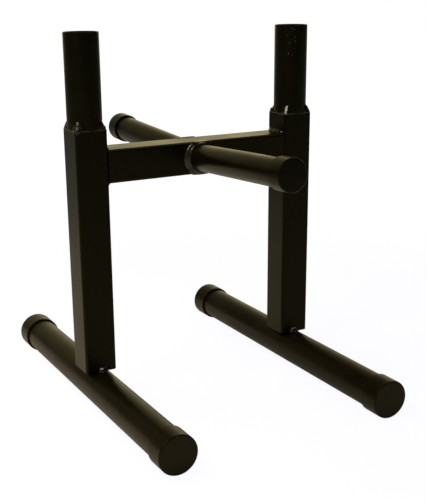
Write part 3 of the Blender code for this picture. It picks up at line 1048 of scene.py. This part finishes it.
def joined(name, meshes):
    """One mesh made of several."""
    bm = bmesh.new()
    for mesh in meshes:
        bm.from_mesh(mesh)
    return mesh_from(name, bm, WELD_PAINT)


def ring_points(y_sign, out, lift):
    """A ring round the root of a peg, on one face of the cross bar."""
    points = []
    for i in range(RING_POINTS):
        angle = 2 * math.pi * i / RING_POINTS
        ring = PEG_DIAMETER / 2 + out
        ring = min(ring, (HALF_SQUARE - RING_INSET) / max(0.01, abs(math.sin(angle))))
        x = ring * math.cos(angle)
        z = ring * math.sin(angle)
        over = max(0.0, abs(z) - FLAT_HALF)
        back = SQUARE_CORNER - math.sqrt(max(0.0, SQUARE_CORNER**2 - over**2))
        points.append(Vector((x, y_sign * (HALF_SQUARE + lift - back), bar_middle.z + z)))
    return points


def root_depth(point, y_sign):
    """How far a point stands out of the corner between a peg and its face, and the way out."""
    around = Vector((point.x, 0, point.z - bar_middle.z))
    out = (around.normalized() + Vector((0, y_sign, 0))) / math.sqrt(2)
    return (around.length - PEG_DIAMETER / 2 + y_sign * point.y - HALF_SQUARE) / math.sqrt(2), out


for end, y_sign in ENDS.items():
    name = "peg_weld_" + end
    beads = []
    for number, (out, radius, lift) in enumerate(PASSES):
        points = ring_points(y_sign, out, lift)
        seed = 50 + y_sign + 4 * number
        beads.append(bead_along(name, points, radius, seed, closed=True, **PEG_RIPPLES))
    mesh = joined(name, beads)
    press(mesh, lambda point: root_depth(point, y_sign), *PEG_WELD_PRESS)
    keep_above(mesh, 1, y_sign, y_sign * FLAT_HALF)
    for z_sign in LEVELS.values():
        keep_above(mesh, 2, -z_sign, bar_middle.z + z_sign * (HALF_SQUARE + RING_PAST_FACE))
    finish_piece("peg_bead_" + end, mesh, [name])

# %% [markdown]
# ## Corner welds under the posts
#
# The round post is about as wide as the upright, so the upright's four corners stick out under it.
# Each corner was filled with weld: a wedge that starts at the corner, leans on the post and ends in
# a blunt tip. First come the distances from the post's axis to the upright's rounded corner and to
# the outside of the wedge, at an angle from the corner's diagonal.

# %% Corner distances
POST_RADIUS = post_size.x / 2
UPRIGHT_TOP = upright_middle.z + upright_size.z / 2
CORNER_RISE = 11.8 * MM
CORNER_STEP = 0.5 * MM
LEAST_BODY = 0.3 * MM
BULGE = 0.35 * MM
NO_FACE = 1.0


def corner_reach(angle):
    """How far the upright's rounded corner is from the axis, at an angle from the diagonal."""
    diagonal = FLAT_HALF * math.sqrt(2)
    to_side = HALF_SQUARE / math.cos(math.pi / 4 - abs(angle))
    inside = SQUARE_CORNER**2 - (diagonal * math.sin(angle)) ** 2
    if inside <= 0:
        return to_side
    return min(to_side, diagonal * math.cos(angle) + math.sqrt(inside))


def wedge_radius(angle, climb, body, face=NO_FACE):
    """How far the wedge's outside is from the axis, from its foot at climb 0 to its tip at climb 1.

    body is 1 in the middle of the wedge and 0 at its sides. face is the same distance of a flat face.
    """
    reach = min(corner_reach(angle) - CORNER_STEP, face / math.cos(angle))
    reach = POST_RADIUS + max(LEAST_BODY, reach - POST_RADIUS) * body
    bulge = BULGE * body * math.sin(math.pi * climb)
    return POST_RADIUS + (reach - POST_RADIUS) * (1 - climb) ** 1.1 + bulge


def surface_radius(angle, height):
    """How far the upright's corner, the wedge or the post is from the axis at an angle and a height."""
    if height < 0:
        return corner_reach(angle)
    return wedge_radius(angle, min(1.0, height / CORNER_RISE), 1.0)


print("the corner reaches", in_mm([corner_reach(0), POST_RADIUS]), "mm, corner and post")

# %% [markdown]
# The wedge is written as a grid. One direction runs across the corner, the other runs up the
# outside, over the tip and back down inside the post's wall.

# %% Wedge
CORNER_SPREAD = math.radians(19.0)
WEDGE_DEPTH = 1.4 * MM
WEDGE_FOOT = -0.3 * MM
WEDGE_RIPPLE = 2.6 * MM
ACROSS = 24
UP = 28


def wedge(name, turn, seed, ripple, face=NO_FACE):
    """One wedge of weld. turn is the direction of its corner, from +X, in radians."""
    chance = random.Random(seed)
    lean = chance.uniform(-0.15, 0.15)
    phase = chance.uniform(0, 2 * math.pi)
    tall = CORNER_RISE * chance.uniform(0.88, 1.04)
    inside = POST_RADIUS - WEDGE_DEPTH
    bm = bmesh.new()
    rows = []
    for share in even_steps(ACROSS):
        angle = share * CORNER_SPREAD
        body = max(0.0, 1 - abs(share) ** 4) ** 0.5
        rise_here = tall * body * (1 + lean * share)
        row = [bm.verts.new(polar(inside, angle + turn, WEDGE_FOOT))]
        for j in range(UP + 1):
            climb = j / UP
            wave = math.sin(2 * math.pi * (climb * tall / WEDGE_RIPPLE + 0.35 * share**2) + phase)
            radius = wedge_radius(angle, climb, body, face)
            radius += ripple * wave * body * math.sin(math.pi * min(1, climb + 0.15))
            height = rise_here * climb + WEDGE_FOOT
            row.append(bm.verts.new(polar(max(radius, inside), angle + turn, height)))
        row.append(bm.verts.new(polar(inside, angle + turn, rise_here)))
        rows.append(row)
    count = len(rows[0])
    for left, right in zip(rows, rows[1:]):
        for j in range(count):
            bm.faces.new((left[j], right[j], right[(j + 1) % count], left[(j + 1) % count]))
    bm.faces.new(rows[0])
    bm.faces.new(list(reversed(rows[-1])))
    return closed_mesh(name, bm, WELD_PAINT)


print("wedge grid:", ACROSS, "by", UP, "and", round(2 * math.degrees(CORNER_SPREAD)), "degrees wide")

# %% [markdown]
# A last stroke of the torch left a small rope of weld on the wedge, which on two corners hooks down
# over the upright. The stroke is a bead whose path is given by a few marks, each an angle round the
# post and a height, laid on the wedge and flattened. A smooth curve runs through the marks.

# %% Strokes
STROKES = {
    "hook": ((-10, 4.6), (-4, 6.8), (3, 6.9), (8, 5.2), (8, 2.6), (5, -0.4), (2, -3.0), (0, -4.8)),
    "upward": ((1, -0.5), (-2, 3.0), (1, 6.5), (-1, 10.5)),
    "sideways": ((-11, 2.0), (-4, 3.5), (3, 2.5), (10, 3.5)),
}
STROKE_STEPS = 8
STROKE_PRESS = (0.0, 0.6)


def curve_through(p, q, r, s, t):
    """The value of a smooth curve between q and r, with p before them and s after them."""
    bend = (2 * p - 5 * q + 4 * r - s) * t**2
    return 0.5 * (2 * q + (r - p) * t + bend + (3 * q - p - 3 * r + s) * t**3)


def stroke_points(turn, marks, sink):
    """A path over the wedge through marks of (degrees round the post, height in mm)."""
    points = []
    ends = [marks[0]] + list(marks) + [marks[-1]]
    for near in zip(ends, ends[1:], ends[2:], ends[3:]):
        for i in range(STROKE_STEPS):
            degrees, height = (curve_through(*four, i / STROKE_STEPS) for four in zip(*near))
            angle = math.radians(degrees)
            height *= MM
            points.append(polar(surface_radius(angle, height) - sink, angle + turn, height))
    return points


def rope_depth(point, turn):
    """How far a point stands out of the wedge, and the way out."""
    around = Vector((point.x, point.y, 0))
    angle = (math.atan2(point.y, point.x) - turn + math.pi) % (2 * math.pi) - math.pi
    return around.length - surface_radius(angle, point.z), around.normalized()


print("strokes:", list(STROKES))

# %% [markdown]
# The eight corners differ. Each has its own stroke and ripples, and one has no stroke: its weld froze
# with a flat face, which catches the light as a bright diamond.

# %% Corner welds
# Each corner, by side, end and hand: its stroke, the radius of the rope and the ripple in mm, and how
# far a flat face is from the axis, if it has one.
CORNER_STYLE = {
    ("left", "front", "left"): ("hook", 3.5, 0.02),
    ("left", "front", "right"): ("sideways", 1.8, 0.12),
    ("left", "rear", "left"): ("upward", 2.4, 0.14),
    ("left", "rear", "right"): ("sideways", 2.2, 0.14),
    ("right", "front", "left"): (None, 0.0, 0.02, 30.4 * MM),
    ("right", "front", "right"): ("upward", 2.2, 0.12),
    ("right", "rear", "left"): ("sideways", 2.0, 0.14),
    ("right", "rear", "right"): ("hook", 2.8, 0.12),
}

for number, (corner, style) in enumerate(CORNER_STYLE.items()):
    side, end, hand = corner
    stroke, thick, ripple, *face = style
    name = f"post_weld_{side}_{end}_{hand}"
    turn = math.atan2(ENDS[end], SIDES[hand])
    seed = 100 + number
    middle = middle_and_size("upright_" + side)[0]
    top = Matrix.Translation((middle.x, 0, UPRIGHT_TOP + SEAT_GAP))
    parts = [bake(name, wedge(name, turn, seed, ripple * MM, *face), None, {}, top, sharp=70.0)]
    if stroke:
        points = stroke_points(turn, STROKES[stroke], thick * 0.4 * MM)
        rope = bead_along(name, points, thick * MM, seed, pitch=2.6 * MM, depth=0.04)
        press(rope, lambda point: rope_depth(point, turn), *STROKE_PRESS)
        rope.transform(top)
        parts.append(rope)
    finish_piece(f"corner_bead_{side}_{end}_{hand}", joined(name, parts), [name])

# %% [markdown]
# ## The pieces
#
# The number of finished pieces is printed.

# %% Count of pieces
print("pieces:", len(pieces))
